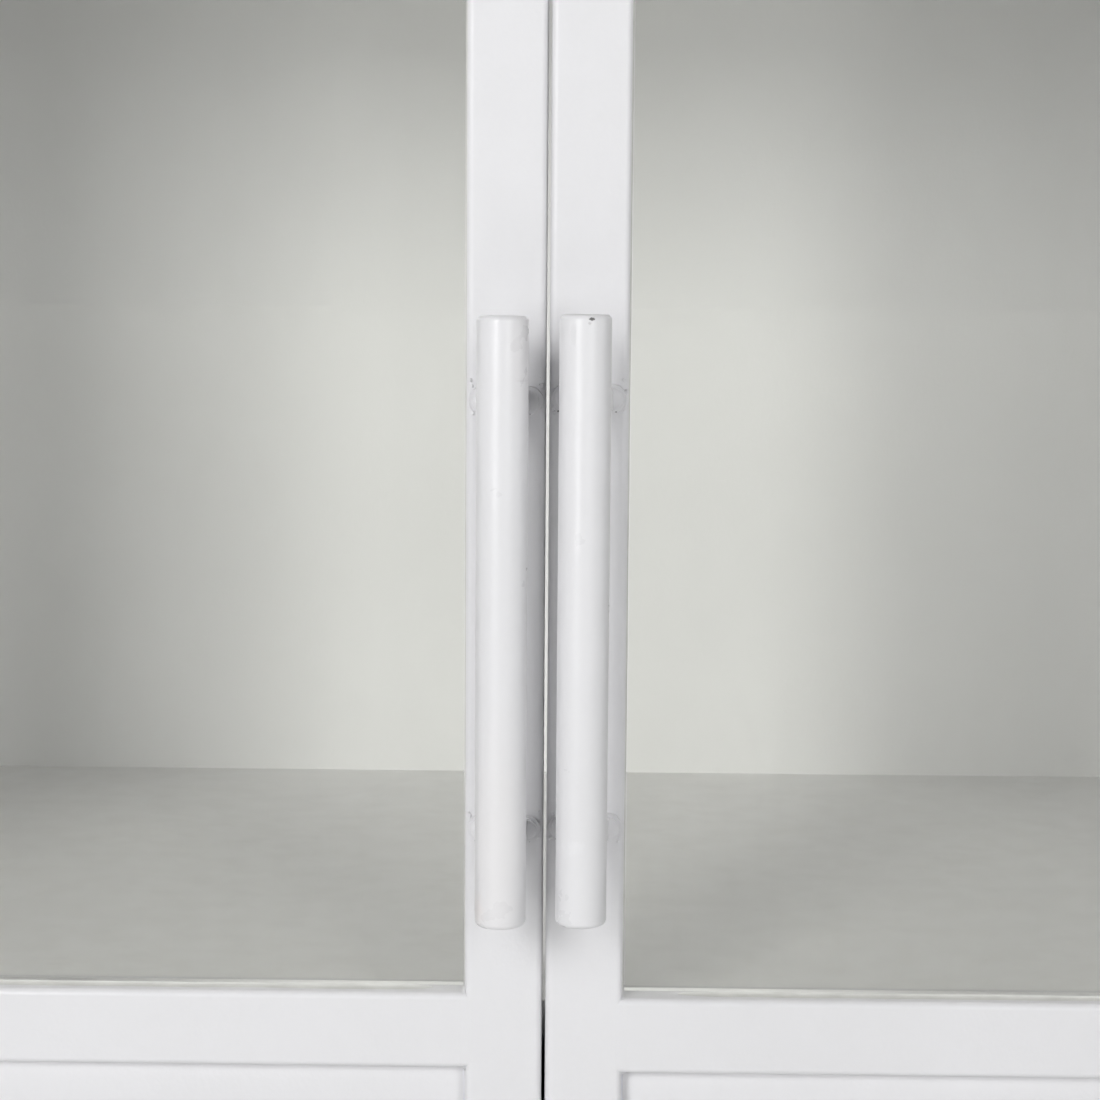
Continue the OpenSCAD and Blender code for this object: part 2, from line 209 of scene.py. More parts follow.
# ---------------------------------------------------------------- materials
# painted light: the inside sheets get a brighter copy of the same white coat than the outside
# paint, standing in for more light inside the cabinet
INSIDE_LIT, INSIDE_LIT_DULL = (0.862, 0.859, 0.862), (0.83, 0.827, 0.827)
INSIDE_SHEETS = ("divider_shelf", "upper_back_panel", "lower_back_panel")
PAINT = (0.738, 0.735, 0.751)
PAINT_DULL = (0.701, 0.699, 0.710)
DUST = (0.60, 0.58, 0.53)
CHIP = (0.055, 0.052, 0.05)


def mark(tree, centre, sizes, ragged=0.35, soft=0.25):
    """1 inside an uneven oval mark round a point of the frame, fading at its edge."""
    away = add(tree, "VectorMath", operation="SUBTRACT")
    tree.links.new(coordinates(tree), away.inputs[0])
    away.inputs[1].default_value = centre
    fitted = add(tree, "VectorMath", operation="DIVIDE")
    tree.links.new(away.outputs[0], fitted.inputs[0])
    fitted.inputs[1].default_value = sizes
    length = add(tree, "VectorMath", operation="LENGTH")
    tree.links.new(fitted.outputs[0], length.inputs[0])
    jagged = noise_at(tree, min(sizes) * 0.9, 3, 0.6)
    reach = maths(tree, "ADD", length.outputs["Value"],
                  ramp(tree, jagged, 0.2, 0.8, -ragged, ragged, smooth=False))
    return ramp(tree, reach, 1 + soft, 1 - soft)


def powder_coat(name, peel=0.00009, peel_size=0.0016, dirt=1.0, gloss=0.36,
                paint=PAINT, dull=PAINT_DULL, chips=0.012, marks=()):
    """White powder coat: orange peel, cloudy gloss, dust on ledges, specks and chips.
    marks are (centre, sizes, colour, strength, depth, raggedness, softness)."""
    mat, tree, shader = new_material(name)
    cloud = noise_at(tree, 0.09, 4, 0.6)
    fine = noise_at(tree, 0.006, 3, 0.55)
    tone = blend_colour(tree, ramp(tree, cloud, 0.35, 0.75, 0, 0.55), paint, dull)
    tone = blend_colour(tree, ramp(tree, fine, 0.5, 0.8, 0, 0.25), tone, dull)
    facing = add(tree, "SeparateXYZ")
    tree.links.new(add(tree, "NewGeometry").outputs["Normal"], facing.inputs["Vector"])
    ledge = ramp(tree, facing.outputs["Z"], 0.55, 0.95)
    settled = maths(tree, "MULTIPLY", ledge,
                    ramp(tree, noise_at(tree, 0.02, 6, 0.7), 0.3, 0.8, 0.04, 0.2))
    tone = blend_colour(tree, maths(tree, "MULTIPLY", settled, dirt), tone, DUST)
    dark = specks(tree, 0.035, 0.00035, 0.35)
    chipped = maths(tree, "MULTIPLY", specks(tree, 0.08, 0.0011, chips * 10),
                    ramp(tree, noise_at(tree, 0.0012, 2), 0.42, 0.5))
    tone = blend_colour(tree, maths(tree, "MULTIPLY", dark, 0.55), tone, (0.25, 0.24, 0.23))
    tone = blend_colour(tree, chipped, tone, CHIP)
    dents = []
    for centre, sizes, colour, strength, depth, ragged, soft in marks:
        spot = mark(tree, centre, sizes, ragged, soft)
        tone = blend_colour(tree, maths(tree, "MULTIPLY", spot, strength), tone, colour)
        if depth:
            dents.append((spot, -depth))
    join(tree, tone, shader.inputs["Base Color"])
    rough = ramp(tree, noise_at(tree, 0.02, 4, 0.6), 0.3, 0.75, gloss - 0.05, gloss + 0.09)
    rough = maths(tree, "ADD", rough, maths(tree, "MULTIPLY", settled, 0.3), clamp=True)
    join(tree, rough, shader.inputs["Roughness"])
    peel_noise = noise_at(tree, peel_size, 1.5, 0.45)
    waves = noise_at(tree, 0.012, 2, 0.5)
    join(tree, bumps(tree, [(peel_noise, peel), (waves, 0.0002),
                            (chipped, -0.00006)] + dents), shader.inputs["Normal"])
    shader.inputs["IOR"].default_value = 1.5
    return mat


def glass_material():
    """Clear float glass: a thin mirror over what lies behind, with faint wiping marks."""
    mat, tree, shader = new_material("pane_glass")
    tree.nodes.remove(shader)
    out = next(n for n in tree.nodes if n.type == "OUTPUT_MATERIAL")
    clear = add(tree, "BsdfTransparent")
    clear.inputs["Color"].default_value = (0.972, 0.975, 0.960, 1)
    mirror = add(tree, "BsdfGlossy")
    mirror.inputs["Color"].default_value = (1, 1, 1, 1)
    wipes = noise_at(tree, 0.06, 3, 0.6, stretch=(1, 1, 0.35), twist=0.8)
    join(tree, ramp(tree, wipes, 0.4, 0.75, 0.015, 0.11), mirror.inputs["Roughness"])
    fresnel = add(tree, "Fresnel", IOR=1.5)
    both = add(tree, "MixShader")
    tree.links.new(fresnel.outputs[0], both.inputs[0])
    tree.links.new(clear.outputs[0], both.inputs[1])
    tree.links.new(mirror.outputs[0], both.inputs[2])
    film = add(tree, "BsdfDiffuse")
    film.inputs["Color"].default_value = (0.75, 0.76, 0.74, 1)
    hazy = add(tree, "MixShader")
    smear = noise_at(tree, 0.05, 5, 0.65, stretch=(1, 1, 0.3), twist=1.5)
    join(tree, ramp(tree, smear, 0.45, 0.85, 0.002, 0.022), hazy.inputs[0])
    tree.links.new(both.outputs[0], hazy.inputs[1])
    tree.links.new(film.outputs[0], hazy.inputs[2])
    tree.links.new(hazy.outputs[0], out.inputs["Surface"])
    return mat


def plain(name, colour, other, size, rough, spread=0.08, metallic=0.0, bump=0.00005,
          stretch=(1, 1, 1)):
    """A moulded, rubbery, sealed or metal surface: two tones, grain and uneven gloss."""
    mat, tree, shader = new_material(name)
    grain = noise_at(tree, size, 4, 0.6, stretch)
    fine = noise_at(tree, size / 6, 3, 0.6, stretch)
    tone = blend_colour(tree, ramp(tree, grain, 0.3, 0.7), colour, other)
    join(tree, tone, shader.inputs["Base Color"])
    join(tree, ramp(tree, fine, 0.3, 0.7, rough - spread, rough + spread),
         shader.inputs["Roughness"])
    join(tree, bumps(tree, [(fine, bump), (grain, bump)]), shader.inputs["Normal"])
    shader.inputs["Metallic"].default_value = metallic
    return mat


MATERIALS = {
    "carcass_white": powder_coat("carcass_coat"),
    "sheet_white": powder_coat("sheet_coat", peel=0.00005, gloss=0.42,
                               paint=(0.835, 0.832, 0.834), dull=(0.80, 0.797, 0.796)),
    "door_white": powder_coat("door_coat", dirt=0.6),
    "handle_white": powder_coat("handle_coat", peel=0.00005, gloss=0.34, dirt=0.3),
    "glass": glass_material(),
    "sealant": plain("sealant", (0.60, 0.60, 0.57), (0.68, 0.68, 0.65), 0.012, 0.4),
    "setting_block": plain("block_vinyl", (0.50, 0.50, 0.45), (0.58, 0.58, 0.53), 0.004, 0.5),
    "pin_steel": plain("pin_steel", (0.42, 0.42, 0.43), (0.56, 0.56, 0.57), 0.006, 0.32,
                       metallic=1.0, stretch=(1, 1, 0.2)),
    "washer_brass": plain("washer_brass", (0.62, 0.44, 0.16), (0.74, 0.55, 0.22), 0.004,
                          0.3, metallic=1.0),
    "zinc": plain("zinc", (0.52, 0.53, 0.56), (0.66, 0.67, 0.68), 0.005, 0.34,
                  metallic=1.0),
    "foot_plastic": plain("foot_plastic", (0.025, 0.025, 0.027), (0.05, 0.05, 0.05),
                          0.004, 0.55, bump=0.0001),
    "catch_plastic": plain("catch_plastic", (0.74, 0.74, 0.72), (0.80, 0.80, 0.78),
                           0.006, 0.42),
    "magnet": plain("magnet", (0.03, 0.03, 0.033), (0.08, 0.08, 0.085), 0.003, 0.45,
                    metallic=0.4),
    "bumper_rubber": plain("bumper_rubber", (0.62, 0.62, 0.60), (0.70, 0.70, 0.68),
                           0.004, 0.5),
}

# painted shade: darker lavender-grey for the line round each lower panel, partly a paint seam,
# partly the shade in the recess's inner corner
MATERIALS["seam"] = plain("paint_seam", (0.60, 0.60, 0.66), (0.74, 0.74, 0.77), 0.02, 0.45)
# painted shade: near-black for weld pinholes, standing in for the shade inside the holes
MATERIALS["weld_pit_shade"] = plain("weld_pit_shade", (0.10, 0.10, 0.10), (0.24, 0.23, 0.22), 0.001, 0.7)


def bar_marks(side):
    """What years of hands have left on each bar, placed from the bar's own box."""
    low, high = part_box(side + "_handle_bar")
    x, y, top = (low.x + high.x) / 2, low.y, high.z
    if side == "right":
        return [
            ((x + 2.2 * MM, y, top - 1.5 * MM), (1.0 * MM, 2 * MM, 0.55 * MM), CHIP, 0.9,
             0.0002, 0.5, 0.2),
            ((x + 1.4 * MM, y, top - 3.0 * MM), (0.5 * MM, 2 * MM, 0.4 * MM),
             (0.42, 0.42, 0.43), 0.4, 0.0001, 0.6, 0.4),
            ((x - 4.6 * MM, y, top - 7 * MM), (0.9 * MM, 4 * MM, 3.0 * MM),
             (0.62, 0.62, 0.64), 0.2, 0.0001, 0.6, 0.6),
            ((x - 3.0 * MM, y, low.z + 31 * MM), (3.5 * MM, 4 * MM, 2.2 * MM),
             (0.80, 0.80, 0.82), 0.25, 0.0001, 0.6, 0.6),
        ]
    return [
        ((x - 2 * MM, y, low.z + 30 * MM), (9 * MM, 12 * MM, 38 * MM),
         (0.745, 0.72, 0.715), 0.3, 0, 0.3, 0.8),
        ((x - 8 * MM, y + 5 * MM, low.z + 7 * MM), (2.0 * MM, 5 * MM, 5 * MM),
         (0.75, 0.66, 0.62), 0.25, 0, 0.4, 0.8),
        ((x + 6 * MM, y + 4 * MM, top - 14 * MM), (4 * MM, 6 * MM, 16 * MM),
         (0.72, 0.69, 0.695), 0.25, 0, 0.3, 0.8),
        ((x + 7.5 * MM, y + 4 * MM, top - 23 * MM), (2.5 * MM, 4 * MM, 0.4 * MM),
         (0.56, 0.55, 0.56), 0.25, 0.00005, 0.5, 0.5),
    ]


for side in ("left", "right"):
    MATERIALS[side + "_bar"] = powder_coat(side + "_bar_coat", peel=0.00005, gloss=0.32,
                                           dirt=0.3, marks=bar_marks(side))

for node in nodes.values():
    for place in node.material_slots:
        place.material = MATERIALS[place.material.name]
# painted light: the brighter copy of the white coat on the inside sheets, standing in for light
# inside the cabinet
MATERIALS["inside"] = powder_coat("inside_coat_painted_light", peel=0.00005, gloss=0.42,
                                  paint=INSIDE_LIT, dull=INSIDE_LIT_DULL)
for name in INSIDE_SHEETS:
    nodes[name].material_slots[0].material = MATERIALS["inside"]

# ---------------------------------------------------------------- mesh helpers


def piece(name, bm, body, slot, replaces=(), material=None, sharp=40):
    """A finished piece: smooth shaded, with its slot's material, riding on a body."""
    mesh = bpy.data.meshes.new(name)
    bmesh.ops.recalc_face_normals(bm, faces=bm.faces)
    bm.to_mesh(mesh)
    bm.free()
    mesh.shade_smooth()
    mesh.set_sharp_from_angle(angle=math.radians(sharp))
    mesh.materials.append(material or MATERIALS[slot])
    obj = bpy.data.objects.new(name, mesh)
    scene.collection.objects.link(obj)
    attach(obj, body)
    if replaces:
        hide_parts(*replaces)
    return obj


def wander(value, seed, size=1.0):
    """Smooth seeded noise from -1 to 1 along a line."""
    return noise.noise(Vector((value / size, 17.31 * seed, 3.7 * seed)))


def loft(bm, rings):
    """Skins rings of the same count, and closes both ends."""
    made = [[bm.verts.new(p) for p in ring] for ring in rings]
    count = len(made[0])
    for low, high in zip(made, made[1:]):
        for i in range(count):
            j = (i + 1) % count
            bm.faces.new((low[i], low[j], high[j], high[i]))
    bm.faces.new(made[0][::-1])
    bm.faces.new(made[-1])


def strand(bm, start, end, side_a, side_b, size_a, size_b, seed, hollow=False, step=0.0012,
           ripple=0.0, pitch=0.0022, uneven=0.12, taper=0.004, points=7):
    """A bead in the corner between two faces, from start to end. side_a and side_b point
    along the faces out of the corner; size_a and size_b are how far it reaches on each.
    hollow makes a concave fillet, else it is a rounded bead; ripple gives weld scales."""
    start, end = Vector(start), Vector(end)
    side_a, side_b = Vector(side_a), Vector(side_b)
    length = (end - start).length
    count = max(6, int(length / step))
    rings = []
    for i in range(count + 1):
        s = i / count * length
        near_end = min(s, length - s) / taper
        grow = 1.0 if near_end >= 1 else math.sqrt(max(0.02, 1 - (1 - near_end) ** 2))
        scale = ripple * (abs(math.sin(math.pi * s / pitch)) - 0.5)
        a = size_a * grow * (1 + uneven * wander(s, seed, 0.011) + scale)
        b = size_b * grow * (1 + uneven * wander(s, seed + 40, 0.013) + scale)
        at = start.lerp(end, i / count)
        ring = [at - side_a * size_a * 0.15 - side_b * size_b * 0.15]
        for k in range(points):
            t = math.pi / 2 * k / (points - 1)
            if hollow:
                u, v = a * (1 - math.sin(t)), b * (1 - math.cos(t))
            else:
                u, v = a * math.cos(t), b * math.sin(t)
            ring.append(at + side_a * u + side_b * v)
        rings.append(ring)
    loft(bm, rings)


def blob(bm, centre, axes, sizes, seed, rough=0.18, rings=7, count=12):
    """A lump of weld spatter: an uneven squashed ball."""
    centre = Vector(centre)
    axis_a, axis_b, axis_c = (Vector(a) for a in axes)
    stack = []
    for i in range(rings):
        t = math.pi * (i + 0.4) / (rings - 0.2)
        ring = []
        for j in range(count):
            p = 2 * math.pi * j / count
            way = Vector((math.sin(t) * math.cos(p), math.sin(t) * math.sin(p), math.cos(t)))
            bumpy = 1 + rough * noise.noise(way * 1.7 + Vector((seed * 9.1, seed, 0)))
            ring.append(centre + (axis_a * way.x * sizes[0] + axis_b * way.y * sizes[1]
                                  + axis_c * way.z * sizes[2]) * bumpy)
        stack.append(ring)
    loft(bm, stack)


X, Y, Z = Vector((1, 0, 0)), Vector((0, 1, 0)), Vector((0, 0, 1))
SIDES = ("left", "right")

# ---------------------------------------------------------------- handle bars
BAR_EDGE = 2.0 * MM         # radius of a bar's rounded ends
BAR_COUNT = 128             # points round a bar
BAR_STEPS = 60              # rings along it
END_STEPS = 8               # rings round each end's edge
END_RINGS = (0.03, 0.35, 0.62, 0.76)    # rings on each flat end, as shares of the radius
COAT_SHRINK = 0.0004        # keeps the uneven coat inside the bar's own radius
COAT_LUMP = 0.03 * MM
END_DENT, END_REACH = 0.10 * MM, 4 * MM     # wear at the ends, and how far it goes


def make_bar(side):
    """A bar with softly rounded, slightly uneven ends under thick coat."""
    low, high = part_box(side + "_handle_bar")
    axis = (low + high) / 2
    radius = (high.x - low.x) / 2
    seed = 3 if side == "left" else 8
    levels = []
    for k in range(END_STEPS, -1, -1):
        t = math.pi / 2 * k / END_STEPS
        levels.append((BAR_EDGE * (1 - math.sin(t)), radius - BAR_EDGE * (1 - math.cos(t))))
    ends = [(0.0, radius * f) for f in END_RINGS] + levels
    length = high.z - low.z
    profile = [(low.z + d, r) for d, r in ends]
    for k in range(1, BAR_STEPS):
        profile.append((low.z + BAR_EDGE + (length - 2 * BAR_EDGE) * k / BAR_STEPS, radius))
    profile += [(high.z - d, r) for d, r in reversed(ends)]
    rings = []
    for z, r in profile:
        ring = []
        for j in range(BAR_COUNT):
            p = 2 * math.pi * j / BAR_COUNT
            way = Vector((math.cos(p), math.sin(p), 0))
            lump = noise.noise(Vector((way.x * 2, way.y * 2, z * 60)) + Vector((seed, 0, 0)))
            near = min(z - low.z, high.z - z)
            dent = END_DENT * max(0.0, 1 - near / END_REACH)
            grown = r * (1 - COAT_SHRINK) - dent * (0.5 + 0.5 * lump) + COAT_LUMP * (lump - 1)
            ring.append(Vector((axis.x, axis.y, z)) + way * max(grown, 0.0001))
        rings.append(ring)
    bm = bmesh.new()
    loft(bm, rings)
    piece(side + "_bar", bm, side + "_door", "handle_white", [side + "_handle_bar"],
          MATERIALS[side + "_bar"], sharp=60)


# ---------------------------------------------------------------- handle welds
LUG_W, LUG_T, LUG_FOOT = 26 * MM, 8 * MM, 3 * MM
LUG_WELD = 1.3 * MM
LUG_RIM = 1 * MM            # how far the lugs' own weld rim stands out
WELD_SCALES = 19            # ripples round one lug
WELD_POINTS = 7             # points across the fillet
CAP = (3.9 * MM, 3.9 * MM, 0.9 * MM)    # the smooth weld cap at each end of a lug's foot
SPATTER = 5                 # drops beside each cap
PIT_SHADE = (0.4 * MM, 0.35 * MM, 0.4 * MM)


def stadium(width, thick, count=72):
    """Points and outward directions round a slot-shaped outline in the x-z plane."""
    straight = width - thick
    edge = 2 * straight + math.pi * thick
    for i in range(count):
        s = i / count * edge
        if s < straight:
            yield Vector((s - straight / 2, 0, thick / 2)), Z
            continue
        s -= straight
        if s < math.pi * thick / 2:
            t = s / (thick / 2)
            way = Vector((math.sin(t), 0, math.cos(t)))
            yield X * straight / 2 + way * thick / 2, way
            continue
        s -= math.pi * thick / 2
        if s < straight:
            yield Vector((straight / 2 - s, 0, -thick / 2)), -Z
            continue
        t = (s - straight) / (thick / 2)
        way = Vector((-math.sin(t), 0, -math.cos(t)))
        yield -X * straight / 2 + way * thick / 2, way


def weld_ring(bm, centre, seed):
    """The fillet weld where a lug meets the stile's face, scaly and uneven."""
    rings = []
    outline = list(stadium(LUG_W, LUG_T))
    for i, (point, way) in enumerate(outline):
        s = i / len(outline)
        turn = Vector((math.cos(2 * math.pi * s), math.sin(2 * math.pi * s), seed * 1.9))
        fat = LUG_WELD * (1 + 0.35 * noise.noise(turn * 2.3)
                          + 0.12 * math.sin(s * 2 * math.pi * WELD_SCALES))
        ring = []
        for k in range(WELD_POINTS):
            t = math.pi / 2 * k / (WELD_POINTS - 1)
            ring.append(centre + point + way * fat * math.cos(t) - Y * fat * math.sin(t))
        ring.append(centre + point - way * 0.4 * MM + Y * 0.3 * MM)
        rings.append(ring)
    made = [[bm.verts.new(p) for p in ring] for ring in rings]
    for i in range(len(made)):
        low, high = made[i], made[(i + 1) % len(made)]
        for k in range(WELD_POINTS + 1):
            m = (k + 1) % (WELD_POINTS + 1)
            bm.faces.new((low[k], low[m], high[m], high[k]))


def make_lug_welds(side):
    """Welds round both lugs on the stile, a cap at each foot, and spatter beside them."""
    low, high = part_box(side + "_handle_lugs")
    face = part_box(side + "_meeting_stile")[0].y
    middle_x = (low.x + high.x) / 2
    spacing = high.z - low.z - LUG_T - 2 * LUG_RIM
    middle_z = (low.z + high.z) / 2
    rng = random.Random(4 if side == "left" else 9)
    bm = bmesh.new()
    pit_shades = bmesh.new()
    for n, z in enumerate((middle_z - spacing / 2, middle_z + spacing / 2)):
        centre = Vector((middle_x, face, z))
        weld_ring(bm, centre, n + (2 if side == "left" else 5))
        for ahead in (-1, 1):
            cap = centre + X * ahead * (LUG_W - LUG_T) / 2 - Y * LUG_FOOT
            blob(bm, cap, (X, Z, Y), CAP, rng.random() * 9, 0.2)
            for _ in range(SPATTER):
                spot = centre + X * ahead * rng.uniform(12.2, 13.9) * MM
                spot += Z * rng.uniform(-6, 9) * MM - Y * rng.uniform(0, 0.3) * MM
                size = rng.uniform(0.3, 0.75) * MM
                blob(bm, spot, (X, Z, Y), (size, size * 1.3, size * 0.8), rng.random() * 9)
            # painted shade: each pinhole is a dark blob on the weld, its dark standing in for
            # the shade inside the hole
            pit_shade = centre + X * ahead * rng.uniform(8.5, 12.5) * MM - Z * 5.0 * MM
            blob(pit_shades, pit_shade - Y * 0.7 * MM, (X, Z, Y), PIT_SHADE, n + 1.0)
    piece(side + "_lug_welds", bm, side + "_door", "handle_white", sharp=70)
    piece(side + "_weld_pit_shades", pit_shades, side + "_door", "handle_white", (),
          MATERIALS["weld_pit_shade"], sharp=70)


# ---------------------------------------------------------------- glazing
SEAL_THIN = 0.7 * MM        # up the stiles and along the top, inside the tube's shade
SEAL_FRONT = (1.0 * MM, 3.4 * MM)       # height on the glass and reach along the rail
SEAL_BACK = (0.9 * MM, 2.4 * MM)
BLOCK_LOW = 0.06 * MM       # how far a setting block's top stays under the glass
BARE = {"left": 13 * MM, "right": 22 * MM}      # where the bead is missing, by the stile
BLOCK_LENGTH = 50 * MM
BLOCK_STEPS = 12
BLOCK_GROOVE = 0.12 * MM
BLOCK_EDGE = 0.25 * MM
SEAM_AND_SHADE = 0.9 * MM             # the line round a lower panel: partly paint seam, partly painted shade in the recess's inner corner


def make_blocks(side, body):
    """The grooved blocks that each pane stands on."""
    bm = bmesh.new()
    low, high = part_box(side + "_setting_blocks")
    for x in (low.x, high.x - BLOCK_LENGTH):
        rings = []
        for i in range(BLOCK_STEPS + 1):
            along = x + BLOCK_LENGTH * i / BLOCK_STEPS
            slim = BLOCK_EDGE if i in (0, BLOCK_STEPS) else 0.0
            dip = BLOCK_LOW + (BLOCK_GROOVE if i % 2 else 0)
            rings.append([(along, low.y + slim, low.z), (along, high.y - slim, low.z),
                          (along, high.y - slim, high.z - dip - slim),
                          (along, low.y + slim, high.z - dip - slim)])
        loft(bm, [[Vector(p) for p in ring] for ring in rings])
    piece(side + "_blocks", bm, body, "setting_block", [side + "_setting_blocks"])


def make_glazing(side):
    """Hand-run sealant, front and back of the glass, missing at one bottom corner."""
    body = side + "_door"
    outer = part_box(side + "_outer_stile")
    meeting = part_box(side + "_meeting_stile")
    if side == "left":
        x0, x1 = outer[1].x, meeting[0].x
    else:
        x0, x1 = meeting[1].x, outer[0].x
    z0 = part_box(side + "_middle_rail")[1].z
    z1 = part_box(side + "_top_rail")[0].z
    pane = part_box(side + "_glass")
    seed = 11 if side == "left" else 23
    bare = BARE[side]
    for layer, y, away, foot in (("front", pane[0].y, -Y, SEAL_FRONT),
                                 ("back", pane[1].y, Y, SEAL_BACK)):
        bm = bmesh.new()
        start, stop = x0, x1
        if layer == "front":
            start += 0 if side == "left" else bare
            stop -= bare if side == "left" else 0
        strand(bm, (start, y, z0), (stop, y, z0), Z, away, foot[0], foot[1], seed,
               hollow=True, step=0.002, uneven=0.16, taper=0.014, points=10)
        for n, (a, b, inward) in enumerate((((x0, z1), (x1, z1), -Z), ((x0, z0), (x0, z1), X),
                                            ((x1, z0), (x1, z1), -X))):
            strand(bm, (a[0], y, a[1]), (b[0], y, b[1]), inward, away, SEAL_THIN,
                   SEAL_THIN * 2, seed + n + 1, step=0.004, uneven=0.2)
        replaced = [side + "_glazing_beads"] if layer == "front" else []
        piece(side + "_sealant_" + layer, bm, body, "sealant", replaced, sharp=70)
    make_blocks(side, body)
    panel_seam(side, body, x0, x1)


def panel_seam(side, body, x0, x1):
    """The thin uneven line where the lower panel meets the rails and stiles: partly a paint
    seam, partly painted shade in the recess's inner corner.
    """
    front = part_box(side + "_lower_panel")[0].y
    z1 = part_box(side + "_middle_rail")[0].z
    z0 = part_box(side + "_bottom_rail")[1].z
    bm = bmesh.new()
    seed = 5 if side == "left" else 15
    for n, (a, b, inward) in enumerate((((x0, z1), (x1, z1), -Z), ((x0, z0), (x1, z0), Z),
                                        ((x0, z0), (x0, z1), X), ((x1, z0), (x1, z1), -X))):
        strand(bm, (a[0], front, a[1]), (b[0], front, b[1]), inward, -Y, SEAM_AND_SHADE, SEAM_AND_SHADE, seed + n,
               hollow=True, step=0.0025, uneven=0.5, taper=0.002)
    piece(side + "_panel_seams", bm, body, "sealant", (), MATERIALS["seam"], sharp=70)

# ---------------------------------------------------------------- frame welds
FRAME_WELD = 2.0 * MM
TUBE_R = 2.5 * MM           # the tubes' corner radius
HAIR = 0.02 * MM
FILL = ((-2.2, -0.06), (-1.6, 0.015), (-0.5, 0.035), (0.6, 0.045), (1.6, 0.035),
        (2.5, 0.01), (2.9, -0.08))      # a joint fill's steps past the end, and how proud, mm
FILL_WAVE = 0.02            # mm
CORNER_POINTS = 6


def rail_welds(bm, box, along, ends, upright, seed):
    """Fillets above and below a rail, where the upright it meets runs on past it."""
    low, high = box
    across = Y if along == X else X
    span = abs((high - low).dot(across))
    for n, (end, inward) in enumerate(ends):
        for m, (z, up) in enumerate(((high.z, Z), (low.z, -Z))):
            if min(abs(z - upright[0].z), abs(z - upright[1].z)) < 2 * FRAME_WELD:
                continue
            start = along * end + across * low.dot(across) + Z * z
            strand(bm, start + across * 0.6 * MM, start + across * (span - 0.6 * MM), inward,
                   up, FRAME_WELD, FRAME_WELD, seed + 2 * n + m, hollow=True, step=0.001,
                   taper=0.0015, uneven=0.25)


def kept_inside(spot):
    """The nearest point a hair inside the cabinet's outer box."""
    low, high = cad_box
    return Vector([min(max(value, a + HAIR), b - HAIR)
                   for value, a, b in zip(spot, low, high)])


def joint_fill(bm, box, along, end, outward, seed):
    """A butt joint ground flush: the rail's own section carried over the upright's rounded
    edge, a hair proud and slightly wavy."""
    low, high = box
    across = Y if along == X else X
    a0, a1 = low.dot(across), high.dot(across)
    z0, z1 = low.z, high.z
    rings = []
    for step, proud in FILL:
        ring = []
        for k in range(4):
            cx = a1 - TUBE_R if k in (0, 3) else a0 + TUBE_R
            cz = z1 - TUBE_R if k in (0, 1) else z0 + TUBE_R
            for m in range(CORNER_POINTS):
                turn = math.pi / 2 * (k + m / (CORNER_POINTS - 1))
                wave = FILL_WAVE * noise.noise(Vector((cx * 90 + m, cz * 90, step + seed)))
                r = TUBE_R + (proud + wave) * MM
                spot = (along * (end + outward * step * MM)
                        + across * (cx + r * math.cos(turn)) + Z * (cz + r * math.sin(turn)))
                ring.append(kept_inside(spot))
        rings.append(ring)
    loft(bm, rings)


def make_frame_welds():
    """Fillets and ground joint fills of both doors and of the carcass."""
    for side in SIDES:
        bm = bmesh.new()
        for n, rail in enumerate(("top", "middle", "bottom")):
            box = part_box(f"{side}_{rail}_rail")
            rail_welds(bm, box, X, ((box[0].x, X), (box[1].x, -X)),
                       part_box(side + "_meeting_stile"), 5 * n + 31)
            joint_fill(bm, box, X, box[0].x, -1, n + 2.5)
            joint_fill(bm, box, X, box[1].x, 1, n + 7.5)
        piece(side + "_frame_welds", bm, side + "_door", "door_white", sharp=60)
    bm = bmesh.new()
    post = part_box("post_front_left")
    wide = post[1].x - post[0].x
    for n, rail in enumerate(("top_front", "bottom_front", "top_rear", "middle_rear",
                              "bottom_rear")):
        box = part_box(rail + "_rail")
        rail_welds(bm, box, X, ((box[0].x, X), (box[1].x, -X)), post, 7 * n + 3)
        joint_fill(bm, box, X, box[0].x, -1, n + 12.5)
        joint_fill(bm, box, X, box[1].x, 1, n + 22.5)
    for n, rail in enumerate(("top", "middle", "bottom")):
        low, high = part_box(rail + "_side_rails")
        for m, (x0, x1) in enumerate(((low.x, low.x + wide), (high.x - wide, high.x))):
            box = (Vector((x0, low.y, low.z)), Vector((x1, high.y, high.z)))
            rail_welds(bm, box, Y, ((low.y, Y), (high.y, -Y)), post, 50 + 9 * n + 4 * m)
            joint_fill(bm, box, Y, low.y, -1, n + m + 32.5)
            joint_fill(bm, box, Y, high.y, 1, n + m + 42.5)
    piece("carcass_frame_welds", bm, "carcass", "carcass_white", sharp=60)


# ---------------------------------------------------------------- stitch welds
STITCH_LENGTH = 24 * MM
STITCH_PITCH = 170 * MM
STITCH_SIZE = (2.2 * MM, 2.0 * MM)
SHEET = 1.2 * MM


def stitches(bm, start, end, side_a, side_b, seed):
    """Short welds at even steps along a sheet's edge."""
    start, end = Vector(start), Vector(end)
    length = (end - start).length
    way = (end - start).normalized()
    count = max(2, round(length / STITCH_PITCH))
    for i in range(count):
        middle = length * (i + 0.5) / count + 0.006 * wander(i * 1.3, seed)
        strand(bm, start + way * (middle - STITCH_LENGTH / 2),
               start + way * (middle + STITCH_LENGTH / 2), side_a, side_b,
               *STITCH_SIZE, seed + i, ripple=0.3, pitch=0.0026, step=0.0009, uneven=0.2)


